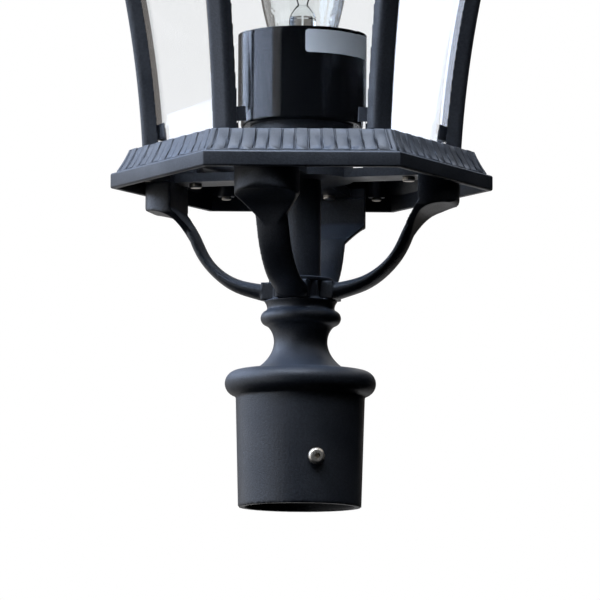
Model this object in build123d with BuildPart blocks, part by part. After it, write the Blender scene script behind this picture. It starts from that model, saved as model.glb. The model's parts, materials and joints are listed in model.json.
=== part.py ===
from build123d import *
from math import cos, radians, sin, sqrt, tan
import os

os.makedirs("parts", exist_ok=True)

# All sizes are in millimetres. The origin is the middle of the fitter's open end, +Z is up and -Y is
# the front. An azimuth is counted from the front, towards +X.

# ---- fitter ----
post_d = 60.0              # round post that the sleeve slides over
post_clearance = 0.5       # all round
socket_depth = 60.0
sleeve_wall = 4.0          # at the open end
sleeve_taper = 1.7         # growth in radius from the open end to the collar
collar_z = 69.2            # middle of the half-round collar
collar_r = 7.2             # its section radius
collar_reach = 42.4        # its largest radius
shoulder_r = 26.0          # where the cove leaves the collar
neck_r = 15.0
neck_z = 92.8
bead_r = 22.6
bead_z = 106.1
bead_half_h = 4.3
bead_root_r = 18.9
ring_r = 21.0              # seat of the arms' feet
ring_z = 116.0
hub_side = 26.0            # square hub between the feet
hub_z = 126.0
nut_pocket_r = 12.5
nut_pocket_z = 70.0

# ---- set screws in the sleeve ----
set_screw_count = 2
set_screw_az = 14.5
set_screw_z = 25.8
set_screw_r = 2.5
set_screw_head_r = 4.7
set_screw_head_h = 2.7
set_screw_key = 3.0        # across flats of the socket
set_screw_seat_r = 5.4     # spot face
set_screw_gap = 0.05       # running clearance in the thread
set_screw_back = 0.2       # the tip stays this far out of the socket until it is driven in
set_screw_stand = 1.0      # and its head stands this far off its seat

# ---- threaded tube that clamps the stack ----
tube_r = 5.0
tube_bore_r = 4.0
tube_gap = 0.1
tube_bottom_z = 62.0
nut_flats = 17.0
nut_h = 5.0

# ---- arms ----
arm_az = (-15.0, 75.0, 165.0, 255.0)
arm_w = 18.6               # width of the oval strap
# the strap's middle line, from the foot outwards and up: radius, height, thickness
arm_line = [(16.0, 121.0, 9.4), (23.5, 121.5, 9.1), (30.0, 123.1, 8.3), (36.8, 125.3, 7.6),
            (44.7, 129.7, 6.6), (52.0, 136.1, 5.8), (57.5, 143.6, 5.7), (61.2, 151.3, 5.6),
            (64.8, 158.4, 5.2)]
boss_half_w = 18.2
boss_inner_r = 71.6
boss_round_r = 72.6        # centre of the rounded end
boss_top_z = 184.0
boss_foot_z = 172.0        # where the rounded end turns under
boss_tail_z = 147.0        # the boss's shoulders run down into the strap to here
shoulder_z = (157.0, 166.8)
# the boss's side outline below and above: radius, height
boss_under = [(60.8, 145.0), (63.8, 150.5), (67.0, 157.0), (71.5, 163.0), (78.0, 166.4), (86.0, 168.0)]
boss_over = [(68.3, 164.6), (62.6, 157.4), (58.7, 149.5), (57.0, 145.0)]

# ---- column and clamp washer ----
washer_r = 18.0
washer_h = 2.5
column_r = 11.0
column_wall = 3.0

# ---- base bridge ----
spoke_h = 5.0
spoke_w = 20.0
stand_r = 29.0
stand_wall = 3.5
stand_top_z = 215.7
arm_screw_r = 80.0         # place of the screw in each arm's boss
bridge_screw_r = 62.0      # place of the screw under each spoke

# ---- skirt ----
skirt_bottom_z = 179.0
skirt_top_z = 201.2
lip_apothem = 93.2
lip_h = 8.7
lip_edge = 1.1
skirt_wall = 3.5
cove_foot = 90.2           # apothem of the cove's lower end
cove_mid = (86.9, 194.9)
cove_top = 84.2
ledge_h = 5.0
ledge_apothem = 66.0       # inner edge
pad_count = 6              # fluted pads on each face
pad_pitch = 14.2
pad_w = 7.9
pad_depth = 0.4
pad_edge_w = 0.9           # a fine groove runs down both edges of a pad
pad_edge_depth = 0.8
pad_margin = 1.3           # plain border above and below the pads
end_groove_t = 45.8
end_groove_w = 1.2
corner_boss_r = 5.0
lug_w = 13.0

# ---- cage: ribs and glass ----
cage_h = 165.0
rib_foot_r = 89.7          # outer radius of a rib at the skirt
rib_flare = (10.1, 31.0)   # growth at half height and at the top
rib_w = 12.0
rib_depth = 11.0
rib_edge_r = 3.0
rib_post_r = 1.2           # posts that pass between two panes and hold a clip
glass_set_back = 5.8       # from the rib's outer line to the glass's
glass_t = 3.0
glass_gap = 0.4            # to the posts, the ledge and the top ring
bevel_w = 13.0
bevel_depth = 0.7
clip_h = 8.0
clip_t = 0.8
clip_wing = 8.0
clip_gap = 0.3
clip_z = (211.0, 351.0)
rib_foot_in = 3.0          # the rib's screws stand this far inside its outer line, at its foot
rib_head_in = 3.9          # and at its head
rib_thread = (10.0, 6.0)   # their reach into the foot and the head

# ---- top ring and roof ----
ring_over = 2.0            # the ring stands out past the ribs
top_ring_h = 5.0
top_ring_w = 19.0
eave_over = 8.7            # the eave stands out past the ring
eave_drop = 5.0            # the eave hangs down past the ring's top
eave_h = 11.0
eave_gap = 1.5
roof_wall = 3.0
roof_h = 82.0              # from the ring's top to the crown's seat
roof_top_apothem = 27.0
roof_cove_in = 8.0         # the fluted cove draws in this far
roof_cove_h = 12.6
roof_stud_az = (60.0, 180.0, 300.0)
roof_stud_r = 95.0
stud_r = 2.5
stud_gap = 0.1
stud_boss_r = 7.0
stud_boss_h = 33.0
stud_reach = 6.0           # how far a stud stands out of its boss
dome_nut_flats = 8.0
dome_nut_h = 9.5

# ---- crown, vent cap and finial ----
crown_flange_r = 31.0
crown_flange_h = 4.0
crown_r = 19.0
crown_h = 17.0
crown_wall = 3.0
vent_count = 8
vent_w = 5.0
vent_h = 8.0
vent_sill = 3.0
cap_r = 34.0
cap_h = 13.0
cap_drop = 4.0
crown_stud_r = 4.0
strap_w = 14.0
strap_h = 4.0
finial_h = 46.0
finial_bore = 11.0

# ---- lampholder ----
cup_r = 34.4
cup_h = 51.0
cup_wall = 2.2
cup_floor = 3.0
holder_r = 21.0
holder_top_z = 258.0
shell_bore_r = 13.45
shell_t = 0.6
label_az = (2.7, 80.0)
label_z = (251.8, 264.8)
label_corner_r = 2.0
label_t = 0.3

# ---- lamp ----
lamp_bottom_z = 233.0
lamp_h = 108.0
bulb_r = 30.0
bulb_wall = 0.8
cap_len = 24.0
lamp_cap_r = 13.2
thread_pitch = 3.62
thread_depth = 0.7
contact_gap = 0.2
seal_r = 11.8              # bore of the cap, where the glass is cemented in
seal_len = 11.0
stem_r = 7.6
stem_press_t = 5.0
wire_r = 0.45

# ---- small screws ----
screw_r = 2.0
screw_head_r = 3.6
screw_head_h = 2.2
rib_screw_r = 1.5
rib_screw_head_r = 2.8
rib_screw_head_h = 1.7
screw_gap = 0.05

faces = [60.0 * k for k in range(6)]
corners = [30.0 + 60.0 * k for k in range(6)]
socket_r = post_d / 2 + post_clearance
cage_top_z = skirt_top_z + cage_h
ring_top_z = cage_top_z + top_ring_h
roof_top_z = ring_top_z + roof_h
washer_top_z = hub_z + washer_h
spoke_top_z = boss_top_z + spoke_h
cup_top_z = stand_top_z + cup_h
far = 200.0                # longer than anything it has to cut


def upright(azimuth):
    """Plane that holds the axis: local x points outwards, local y is up."""
    a = radians(azimuth - 90)
    return Plane(origin=(0, 0, 0), x_dir=(cos(a), sin(a), 0), z_dir=(sin(a), -cos(a), 0))


def level(azimuth, z):
    """Horizontal plane at a height, local x points outwards along the azimuth."""
    a = radians(azimuth - 90)
    return Plane(origin=(0, 0, z), x_dir=(cos(a), sin(a), 0), z_dir=(0, 0, 1))


def facing_in(azimuth, r, z):
    """Upright plane at a radius whose normal points outwards: local x is sideways, local y is up."""
    a = radians(azimuth - 90)
    return Plane(origin=(r * cos(a), r * sin(a), z), x_dir=(-sin(a), cos(a), 0), z_dir=(cos(a), sin(a), 0))


def save(part, name):
    """Label a finished piece and write it."""
    part.label = name
    export_step(part, f"parts/{name}.step")
    print(name, round(part.volume), "mm3")


# The outer line of a rib is one circular arc in its upright plane.
half_cage = cage_h / 2
foot_point = (rib_foot_r, skirt_top_z)
belly_point = (rib_foot_r + rib_flare[0], skirt_top_z + half_cage)
head_point = (rib_foot_r + rib_flare[1], cage_top_z)


def rib_centre():
    """Centre and radius of the arc through the foot, belly and head points."""
    (x1, y1), (x2, y2), (x3, y3) = foot_point, belly_point, head_point
    d = 2 * (x1 * (y2 - y3) + x2 * (y3 - y1) + x3 * (y1 - y2))
    s1, s2, s3 = x1 * x1 + y1 * y1, x2 * x2 + y2 * y2, x3 * x3 + y3 * y3
    cx = (s1 * (y2 - y3) + s2 * (y3 - y1) + s3 * (y1 - y2)) / d
    cy = (s1 * (x3 - x2) + s2 * (x1 - x3) + s3 * (x2 - x1)) / d
    return cx, cy, sqrt((x1 - cx) ** 2 + (y1 - cy) ** 2)


rib_cx, rib_cy, rib_arc_r = rib_centre()


def rib_r(z):
    """Outer radius of a rib at a height."""
    return rib_cx - sqrt(rib_arc_r ** 2 - (z - rib_cy) ** 2)


def glass_a(z):
    """Apothem of the glass's outer face at a height."""
    return (rib_r(z) - glass_set_back) * cos(radians(30))


def curved_band(line, near, far_in, z0, z1):
    """Face between a curved line, moved in by near, and the same line moved in by far_in."""
    zm = (z0 + z1) / 2
    with BuildSketch() as band:
        with BuildLine():
            ThreePointArc((line(z0) - near, z0), (line(zm) - near, zm), (line(z1) - near, z1))
            Line((line(z1) - near, z1), (line(z1) - far_in, z1))
            ThreePointArc((line(z1) - far_in, z1), (line(zm) - far_in, zm), (line(z0) - far_in, z0))
            Line((line(z0) - far_in, z0), (line(z0) - near, z0))
        make_face()
    return band.sketch


def ring_of(sector):
    """Six copies of one 60 degree sector, joined."""
    with BuildPart() as ring:
        with PolarLocations(0, 6):
            add(sector)
    return ring.part


def moved(points, across, up):
    """The same points, moved."""
    return [(x + across, z + up) for x, z in points]


def wedge(azimuth, start=0.0):
    """A tall 60 degree wedge round an azimuth, whose sharp edge stands at a radius of start."""
    reach = far * tan(radians(30))
    with BuildPart() as block:
        with BuildSketch(level(azimuth, 0)):
            Polygon((start, 0), (start + far, -reach), (start + far, reach), align=None)
        extrude(amount=4 * far)
    return block.part


# ---- fitter ----
sleeve_r = socket_r + sleeve_wall
sleeve_top_r = sleeve_r + sleeve_taper
collar_bottom_z = collar_z - collar_r
collar_mid_r = collar_reach - collar_r
seat = sleeve_r + sleeve_taper * set_screw_z / collar_bottom_z - 0.4
with BuildPart() as fitter:
    with BuildSketch(Plane.XZ):
        with BuildLine():
            Line((socket_r, 0), (sleeve_r, 0))
            Line((sleeve_r, 0), (sleeve_top_r, collar_bottom_z + 0.2))
            ThreePointArc((sleeve_top_r, collar_bottom_z + 0.2), (collar_reach, collar_z),
                          (collar_mid_r, collar_z + collar_r))
            Line((collar_mid_r, collar_z + collar_r), (shoulder_r, collar_z + collar_r + 0.6))
            Spline((shoulder_r, collar_z + collar_r + 0.6), (20.4, 81.2), (16.6, 86.4),
                   (neck_r, neck_z), (16.5, 98.8), (bead_root_r, bead_z - bead_half_h))
            ThreePointArc((bead_root_r, bead_z - bead_half_h), (bead_r, bead_z),
                          (bead_root_r, bead_z + bead_half_h))
            Line((bead_root_r, bead_z + bead_half_h), (bead_root_r, bead_z + bead_half_h + 1.2))
            ThreePointArc((bead_root_r, bead_z + bead_half_h + 1.2), (19.5, ring_z - 2.0), (ring_r, ring_z))
            Line((ring_r, ring_z), (tube_r + tube_gap, ring_z))
            Line((tube_r + tube_gap, ring_z), (tube_r + tube_gap, nut_pocket_z))
            Line((tube_r + tube_gap, nut_pocket_z), (nut_pocket_r, nut_pocket_z))
            Line((nut_pocket_r, nut_pocket_z), (nut_pocket_r, socket_depth))
            Line((nut_pocket_r, socket_depth), (socket_r, socket_depth))
            Line((socket_r, socket_depth), (socket_r, 0))
        make_face()
    revolve(axis=Axis.Z)
    with BuildSketch(level(arm_az[0], ring_z)):
        Rectangle(hub_side, hub_side)
        Circle(tube_r + tube_gap, mode=Mode.SUBTRACT)
    extrude(amount=hub_z - ring_z)
    for k in range(set_screw_count):
        azimuth = set_screw_az + 360 / set_screw_count * k
        with BuildSketch(facing_in(azimuth, seat, set_screw_z)):
            Circle(set_screw_seat_r)
        extrude(amount=5, mode=Mode.SUBTRACT)
        with BuildSketch(facing_in(azimuth, seat, set_screw_z)):
            Circle(set_screw_r + set_screw_gap)
        extrude(amount=-sleeve_wall - 4, mode=Mode.SUBTRACT)
save(fitter.part, "fitter")

# ---- set screws ----
head_seat = seat + set_screw_stand
for k in range(set_screw_count):
    azimuth = set_screw_az + 360 / set_screw_count * k
    with BuildPart() as set_screw:
        with BuildSketch(facing_in(azimuth, socket_r + set_screw_back, set_screw_z)):
            Circle(set_screw_r)
        extrude(amount=head_seat - socket_r - set_screw_back)
        with BuildSketch(facing_in(azimuth, head_seat, set_screw_z)):
            Circle(set_screw_head_r)
        extrude(amount=set_screw_head_h)
        head_rim = set_screw.faces().sort_by(Axis((0, 0, 0), facing_in(azimuth, 0, 0).z_dir))[-1].edges()
        fillet(head_rim, radius=set_screw_head_h * 0.7)
        with BuildSketch(facing_in(azimuth, head_seat + set_screw_head_h, set_screw_z)):
            RegularPolygon(set_screw_key / 2, 6, major_radius=False)
        extrude(amount=-set_screw_head_h * 0.8, mode=Mode.SUBTRACT)
    save(set_screw.part, f"set_screw_{k + 1}")


def strap_section(azimuth, k):
    """Oval section of the strap at one point of its middle line, square to the line."""
    before, after = arm_line[max(k - 1, 0)], arm_line[min(k + 1, len(arm_line) - 1)]
    run, rise = (after[0] - before[0], after[1] - before[1]) if k else (1, 0)
    out, side = upright(azimuth).x_dir, -upright(azimuth).z_dir
    r, z, thickness = arm_line[k]
    along = out * run + Vector(0, 0, rise)
    with BuildSketch(Plane(origin=out * r + Vector(0, 0, z), x_dir=side, z_dir=along)) as oval:
        Ellipse(arm_w / 2, thickness / 2)
    return oval.sketch


# ---- arms: a foot block, an oval strap and a boss whose shoulders run down into the strap ----
boss_end_r = boss_round_r + boss_half_w
for k, azimuth in enumerate(arm_az):
    with BuildPart() as arm:
        with BuildSketch(upright(azimuth)):
            with BuildLine():
                Spline(*boss_under)
                ThreePointArc(boss_under[-1], (boss_end_r - 1.2, boss_foot_z - 2.8),
                              (boss_end_r, boss_foot_z))
                Line((boss_end_r, boss_foot_z), (boss_end_r, boss_top_z))
                Line((boss_end_r, boss_top_z), (boss_inner_r, boss_top_z))
                Line((boss_inner_r, boss_top_z), (boss_inner_r, boss_over[0][1] + 4.1))
                Spline((boss_inner_r, boss_over[0][1] + 4.1), *boss_over)
                Line(boss_over[-1], boss_under[0])
            make_face()
        extrude(amount=boss_half_w, both=True)
        # front outline: two shoulders that widen to the boss
        with BuildSketch(facing_in(azimuth, 0, 0)):
            Polygon((0, boss_tail_z), (arm_w / 2, shoulder_z[0]), (boss_half_w, shoulder_z[1]),
                    (boss_half_w, far), (-boss_half_w, far), (-boss_half_w, shoulder_z[1]),
                    (-arm_w / 2, shoulder_z[0]), align=None)
        extrude(amount=far, mode=Mode.INTERSECT)
        # plan outline: the boss ends in a half round
        with BuildSketch(level(azimuth, 0)):
            with Locations((boss_round_r / 2, 0)):
                Rectangle(boss_round_r, 2 * boss_half_w)
            with Locations((boss_round_r, 0)):
                Circle(boss_half_w)
        extrude(amount=far, mode=Mode.INTERSECT)
        add(loft([strap_section(azimuth, n) for n in range(len(arm_line))], mode=Mode.PRIVATE))
        with BuildSketch(level(azimuth, ring_z)):
            with Locations(((hub_side / 2 + ring_r) / 2, 0)):
                Rectangle(ring_r - hub_side / 2, arm_w)
        extrude(amount=hub_z - ring_z)
        # nothing of the strap reaches past the foot block, towards the hub
        with BuildSketch(level(azimuth, ring_z)):
            Rectangle(hub_side, hub_side)
        extrude(amount=hub_z - ring_z, mode=Mode.SUBTRACT)
        with BuildSketch(level(azimuth, boss_top_z)):
            with Locations((arm_screw_r, 0)):
                Circle(screw_r + screw_gap)
        extrude(amount=-12, mode=Mode.SUBTRACT)
    save(arm.part, f"arm_{k + 1}")

# ---- clamp washer, column, threaded tube and nuts ----
with BuildPart() as clamp_washer:
    with BuildSketch(Plane.XY.offset(hub_z)):
        Circle(washer_r)
        Circle(tube_r + tube_gap, mode=Mode.SUBTRACT)
    extrude(amount=washer_h)
    chamfer(clamp_washer.edges().filter_by(GeomType.CIRCLE).sort_by(SortBy.RADIUS)[-2:], 0.6)
save(clamp_washer.part, "clamp_washer")

with BuildPart() as column:
    with BuildSketch(Plane.XY.offset(washer_top_z)):
        Circle(column_r)
        Circle(column_r - column_wall, mode=Mode.SUBTRACT)
    extrude(amount=boss_top_z - washer_top_z)
save(column.part, "column")

tube_top_z = stand_top_z + cup_floor + 6.5
with BuildPart() as threaded_tube:
    with BuildSketch(Plane.XY.offset(tube_bottom_z)):
        Circle(tube_r)
        Circle(tube_bore_r, mode=Mode.SUBTRACT)
    extrude(amount=tube_top_z - tube_bottom_z)
save(threaded_tube.part, "threaded_tube")

with BuildPart() as tube_nuts:
    for bottom in (nut_pocket_z - nut_h, spoke_top_z):
        with BuildSketch(Plane.XY.offset(bottom)):
            RegularPolygon(nut_flats / 2, 6, major_radius=False)
            Circle(tube_r + tube_gap / 2, mode=Mode.SUBTRACT)
        extrude(amount=nut_h)
save(tube_nuts.part, "tube_nuts")

# ---- base bridge ----
with BuildPart() as base_bridge:
    with BuildSketch(Plane.XY.offset(boss_top_z)):
        Circle(stand_r)
    extrude(amount=stand_top_z - boss_top_z)
    for azimuth in arm_az:
        with BuildSketch(level(azimuth, boss_top_z)):
            with Locations((boss_round_r, 0)):
                Circle(boss_half_w)
            with Locations((boss_inner_r / 2, 0)):
                Rectangle(boss_inner_r, 2 * boss_half_w, mode=Mode.SUBTRACT)
                Rectangle(boss_inner_r, spoke_w)
            with Locations(((boss_inner_r + boss_round_r) / 2, 0)):
                Rectangle(boss_round_r - boss_inner_r, 2 * boss_half_w)
        extrude(amount=spoke_h)
    with BuildSketch(Plane.XY.offset(spoke_top_z)):
        Circle(stand_r - stand_wall)
    extrude(amount=stand_top_z - spoke_top_z, mode=Mode.SUBTRACT)
    with BuildSketch(Plane.XY.offset(boss_top_z)):
        Circle(tube_r + tube_gap)
    extrude(amount=spoke_h, mode=Mode.SUBTRACT)
    for azimuth in arm_az:
        with BuildSketch(level(azimuth, boss_top_z)):
            with Locations((arm_screw_r, 0), (bridge_screw_r, 0)):
                Circle(screw_r + screw_gap)
        extrude(amount=spoke_h, mode=Mode.SUBTRACT)
save(base_bridge.part, "base_bridge")

# ---- skirt ----
lip_top_z = skirt_bottom_z + lip_h
ledge_z = skirt_top_z - ledge_h
inner_lip = lip_apothem - skirt_wall


def cove_line(shift):
    """The fluted cove's outline, moved sideways by shift."""
    ThreePointArc((cove_foot + shift, lip_top_z + pad_margin), (cove_mid[0] + shift, cove_mid[1]),
                  (cove_top + shift, skirt_top_z))


with BuildPart() as skirt_sector:
    with BuildSketch(upright(0)):
        with BuildLine():
            Line((inner_lip, skirt_bottom_z), (lip_apothem - lip_edge, skirt_bottom_z))
            ThreePointArc((lip_apothem - lip_edge, skirt_bottom_z),
                          (lip_apothem - 0.3 * lip_edge, skirt_bottom_z + 0.3 * lip_edge),
                          (lip_apothem, skirt_bottom_z + lip_edge))
            Line((lip_apothem, skirt_bottom_z + lip_edge), (lip_apothem, lip_top_z - lip_edge))
            ThreePointArc((lip_apothem, lip_top_z - lip_edge),
                          (lip_apothem - 0.3 * lip_edge, lip_top_z - 0.3 * lip_edge),
                          (lip_apothem - lip_edge, lip_top_z))
            Line((lip_apothem - lip_edge, lip_top_z), (cove_foot, lip_top_z))
            Line((cove_foot, lip_top_z), (cove_foot, lip_top_z + pad_margin))
            cove_line(0)
            Line((cove_top, skirt_top_z), (ledge_apothem, skirt_top_z))
            Line((ledge_apothem, skirt_top_z), (ledge_apothem, ledge_z))
            Line((ledge_apothem, ledge_z), (cove_top - skirt_wall, ledge_z))
            Line((cove_top - skirt_wall, ledge_z), (inner_lip, lip_top_z))
            Line((inner_lip, lip_top_z), (inner_lip, skirt_bottom_z))
        make_face()
    extrude(amount=far / 2, both=True)
    add(wedge(0), mode=Mode.INTERSECT)

# each face has shallow pads, with a fine groove down both edges, on planes through the axis
pad_middles = [(k - (pad_count - 1) / 2) * pad_pitch for k in range(pad_count)]
pads = [(t, pad_w) for t in pad_middles]
pad_grooves = [(t + s * (pad_w - pad_edge_w) / 2, pad_edge_w) for t in pad_middles for s in (-1, 1)]
end_grooves = [(s * end_groove_t, end_groove_w) for s in (-1, 1)]


def flutes(strips, depth, cove, foot, top):
    """The room of a face's pads or grooves: strips between planes through the axis, cut to a depth.

    cove draws the cove's line moved by a shift, foot and top are its two ends.
    """
    with BuildPart() as cutter:
        for t, width in strips:
            low, high = (t - width / 2) / cove_top, (t + width / 2) / cove_top
            with BuildSketch(level(0, 0)):
                Polygon((50, 50 * low), (far, far * low), (far, far * high), (50, 50 * high), align=None)
            extrude(amount=3 * far)
        with BuildSketch(upright(0)):
            with BuildLine():
                cove(-depth)
                Line((top[0] - depth, top[1]), (top[0] + 9, top[1]))
                Line((top[0] + 9, top[1]), (foot[0] + 9, foot[1]))
                Line((foot[0] + 9, foot[1]), (foot[0] - depth, foot[1]))
            make_face()
        extrude(amount=far / 2, both=True, mode=Mode.INTERSECT)
    return cutter.part


cove_ends = ((cove_foot, lip_top_z + pad_margin), (cove_top, skirt_top_z))
with BuildPart() as fluted_sector:
    add(skirt_sector.part)
    add(flutes(pads, pad_depth, cove_line, *cove_ends), mode=Mode.SUBTRACT)
    add(flutes(pad_grooves + end_grooves, pad_edge_depth, cove_line, *cove_ends), mode=Mode.SUBTRACT)

with BuildPart() as skirt:
    add(ring_of(fluted_sector.part))
    for azimuth in corners:
        with BuildSketch(level(azimuth, spoke_top_z - 4)):
            with Locations((rib_foot_r - rib_foot_in, 0)):
                Circle(corner_boss_r)
        extrude(amount=ledge_z + 1 - spoke_top_z + 4)
    for azimuth in arm_az:
        with BuildSketch(level(azimuth, spoke_top_z)):
            with Locations((bridge_screw_r + 4, 0)):
                Rectangle(lug_w, lug_w)
        extrude(amount=ledge_z + 1 - spoke_top_z)
    for azimuth in corners:
        with BuildSketch(level(azimuth, 0)):
            with Locations((rib_foot_r - rib_foot_in, 0)):
                Circle(rib_screw_r + screw_gap)
        extrude(amount=2 * far, mode=Mode.SUBTRACT)
    for azimuth in arm_az:
        with BuildSketch(level(azimuth, spoke_top_z)):
            with Locations((bridge_screw_r, 0)):
                Circle(screw_r + screw_gap)
        extrude(amount=6, mode=Mode.SUBTRACT)
save(skirt.part, "skirt")


def pan_screws(name, places, seat_z, length, up, sizes):
    """A group of pan-head screws: heads on seat_z, shanks running up or down from it.

    sizes are the radius of the shank, and the radius and height of the head.
    """
    way = 1 if up else -1
    shank_r, head_r, head_h = sizes
    with BuildPart() as screws:
        for azimuth, r in places:
            with BuildSketch(level(azimuth, seat_z)):
                with Locations((r, 0)):
                    Circle(shank_r)
            extrude(amount=way * length)
            with BuildSketch(level(azimuth, seat_z)):
                with Locations((r, 0)):
                    Circle(head_r)
            extrude(amount=-way * head_h)
        rims = screws.edges().filter_by(GeomType.CIRCLE).group_by(Axis.Z)[0 if up else -1]
        fillet(rims, radius=head_h * 0.5)
    save(screws.part, name)


large = (screw_r, screw_head_r, screw_head_h)
small = (rib_screw_r, rib_screw_head_r, rib_screw_head_h)
foot_seat_z = spoke_top_z - 4
foot_places = [(a, rib_foot_r - rib_foot_in) for a in corners]
pan_screws("bridge_screws", [(a, bridge_screw_r) for a in arm_az], boss_top_z, spoke_h + 5.5, True, large)
pan_screws("arm_screws", [(a, arm_screw_r) for a in arm_az], spoke_top_z, spoke_h + 11, False, large)
foot_length = skirt_top_z - foot_seat_z + rib_thread[0] - 1
pan_screws("rib_foot_screws", foot_places, foot_seat_z, foot_length, True, small)


def behind_glass(azimuth):
    """The room inside a pane's outer face, within its own sixth of the cage."""
    with BuildPart() as room:
        with BuildSketch(upright(azimuth)):
            add(curved_band(glass_a, 0, 40, skirt_top_z - 1, cage_top_z + 1))
        extrude(amount=far / 2, both=True)
        add(wedge(azimuth), mode=Mode.INTERSECT)
    return room.part


def clip_seat(azimuth, z):
    """Where a clip's fold stands: the point, the upward way along the rib and the way out, square to it."""
    out = upright(azimuth).x_dir
    r = (glass_a(z) - glass_t) / cos(radians(30)) - clip_gap
    lean = (rib_r(z + 1) - rib_r(z - 1)) / 2
    return out * r + Vector(0, 0, z), (out * lean + Vector(0, 0, 1)).normalized(), out - Vector(0, 0, lean)


# ---- ribs: the back is a wide V that seats the two panes, with posts that reach between them ----
for k, azimuth in enumerate(corners):
    with BuildPart() as rib:
        with BuildSketch(upright(azimuth)):
            add(curved_band(rib_r, 0, rib_depth, skirt_top_z, cage_top_z))
        extrude(amount=rib_w / 2, both=True)
        long_edges = rib.edges().filter_by(lambda e: e.length > cage_h * 0.9)
        middle = upright(azimuth).x_dir * belly_point[0] + Vector(0, 0, belly_point[1])
        fillet(sorted(long_edges, key=lambda e: (e.center() - middle).length)[:2], radius=rib_edge_r)
        for side in (-30, 30):
            add(behind_glass(azimuth + side), mode=Mode.SUBTRACT)
        for z in clip_z:
            fold, along, out = clip_seat(azimuth, z)
            with BuildSketch(Plane(origin=fold, x_dir=upright(azimuth).z_dir, z_dir=out)):
                Circle(rib_post_r)
            extrude(amount=glass_t / cos(radians(30)) + clip_gap + 2.0)
        with BuildSketch(level(azimuth, skirt_top_z)):
            with Locations((rib_foot_r - rib_foot_in, 0)):
                Circle(rib_screw_r + screw_gap)
        extrude(amount=rib_thread[0], mode=Mode.SUBTRACT)
        with BuildSketch(level(azimuth, cage_top_z)):
            with Locations((head_point[0] - rib_head_in, 0)):
                Circle(rib_screw_r + screw_gap)
        extrude(amount=-rib_thread[1], mode=Mode.SUBTRACT)
    save(rib.part, f"rib_{k + 1}")

# ---- glass: curved panes, bevelled round the outer face ----
edge_shift = (rib_post_r + glass_gap) / sin(radians(30))
edge_cut = (rib_post_r + glass_gap) / cos(radians(30))
glass_z = (skirt_top_z + glass_gap, cage_top_z - glass_gap)
bevel_tilt = bevel_depth / bevel_w


def bevel_a(z):
    """Where the plane of a side bevel, leaning back towards the edge, would meet the pane's middle."""
    return glass_a(z) * (1 + bevel_tilt * tan(radians(30))) - bevel_tilt * (edge_cut + bevel_w)


for k, azimuth in enumerate(faces):
    side_way = upright(azimuth).z_dir
    out_way = upright(azimuth).x_dir
    with BuildPart() as glass:
        with BuildSketch(upright(azimuth)):
            add(curved_band(glass_a, 0.1, glass_t, *glass_z))
        extrude(amount=far / 2, both=True)
        add(wedge(azimuth, edge_shift), mode=Mode.INTERSECT)
        for side in (-1, 1):
            with BuildSketch(upright(azimuth)):
                add(curved_band(bevel_a, 0.1, -far / 4, glass_z[0] - 3, glass_z[1] + 3))
            extrude(amount=far, dir=side_way * side - out_way * bevel_tilt, mode=Mode.SUBTRACT)
        for z, way in ((glass_z[0], 1), (glass_z[1], -1)):
            edge = Vector(glass_a(z) - 0.1 - bevel_depth, z)
            rise = Vector(glass_a(z + way * bevel_w) - 0.1, z + way * bevel_w) - edge
            beyond = edge + rise * 1.3
            with BuildSketch(upright(azimuth)):
                Polygon((edge.X, edge.Y), (beyond.X, beyond.Y), (beyond.X + far / 4, beyond.Y),
                        (beyond.X + far / 4, z - way * 2), (edge.X, z - way * 2), align=None)
            extrude(amount=far / 2, both=True, mode=Mode.SUBTRACT)
    save(glass.part, f"glass_{k + 1}")

# ---- glass clips: folded strips on the ribs' posts, pressing on the glass from inside ----
fold_slope = tan(radians(30))
with BuildPart() as glass_clips:
    for azimuth in corners:
        for z in clip_z:
            fold, along, out = clip_seat(azimuth, z)
            with BuildSketch(Plane(origin=fold, x_dir=-upright(azimuth).z_dir, z_dir=along)):
                Polygon((-clip_wing, clip_wing * fold_slope), (0, 0), (clip_wing, clip_wing * fold_slope),
                        (clip_wing, clip_wing * fold_slope + clip_t), (0, clip_t),
                        (-clip_wing, clip_wing * fold_slope + clip_t), align=None)
            extrude(amount=clip_h / 2, both=True)
save(glass_clips.part, "glass_clips")

# ---- top ring with its roof studs ----
ring_apothem = (head_point[0] + ring_over) * cos(radians(30))
with BuildPart() as top_ring_sector:
    with BuildSketch(upright(0)):
        with Locations((ring_apothem - top_ring_w / 2, cage_top_z + top_ring_h / 2)):
            Rectangle(top_ring_w, top_ring_h)
    extrude(amount=far / 2, both=True)
    add(wedge(0), mode=Mode.INTERSECT)

with BuildPart() as top_ring:
    add(ring_of(top_ring_sector.part))
    for azimuth in corners:
        with BuildSketch(level(azimuth, cage_top_z)):
            with Locations((head_point[0] - rib_head_in, 0)):
                Circle(rib_screw_r + screw_gap)
        extrude(amount=top_ring_h, mode=Mode.SUBTRACT)
        with BuildSketch(level(azimuth, ring_top_z)):
            with Locations((head_point[0] - rib_head_in, 0)):
                Circle(rib_screw_head_r + 0.2)
        extrude(amount=-rib_screw_head_h - 0.2, mode=Mode.SUBTRACT)
    for azimuth in roof_stud_az:
        with BuildSketch(level(azimuth, cage_top_z)):
            with Locations((roof_stud_r, 0)):
                Circle(stud_r)
        extrude(amount=top_ring_h, mode=Mode.SUBTRACT)
save(top_ring.part, "top_ring")

head_seat_z = ring_top_z - rib_screw_head_h - 0.2
head_places = [(a, head_point[0] - rib_head_in) for a in corners]
head_length = head_seat_z - cage_top_z + rib_thread[1] - 1
pan_screws("rib_head_screws", head_places, head_seat_z, head_length, False, small)

stud_top_z = ring_top_z + stud_boss_h + stud_reach
with BuildPart() as roof_studs:
    for azimuth in roof_stud_az:
        with BuildSketch(level(azimuth, cage_top_z)):
            with Locations((roof_stud_r, 0)):
                Circle(stud_r)
        extrude(amount=stud_top_z - cage_top_z)
save(roof_studs.part, "roof_studs")

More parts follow.
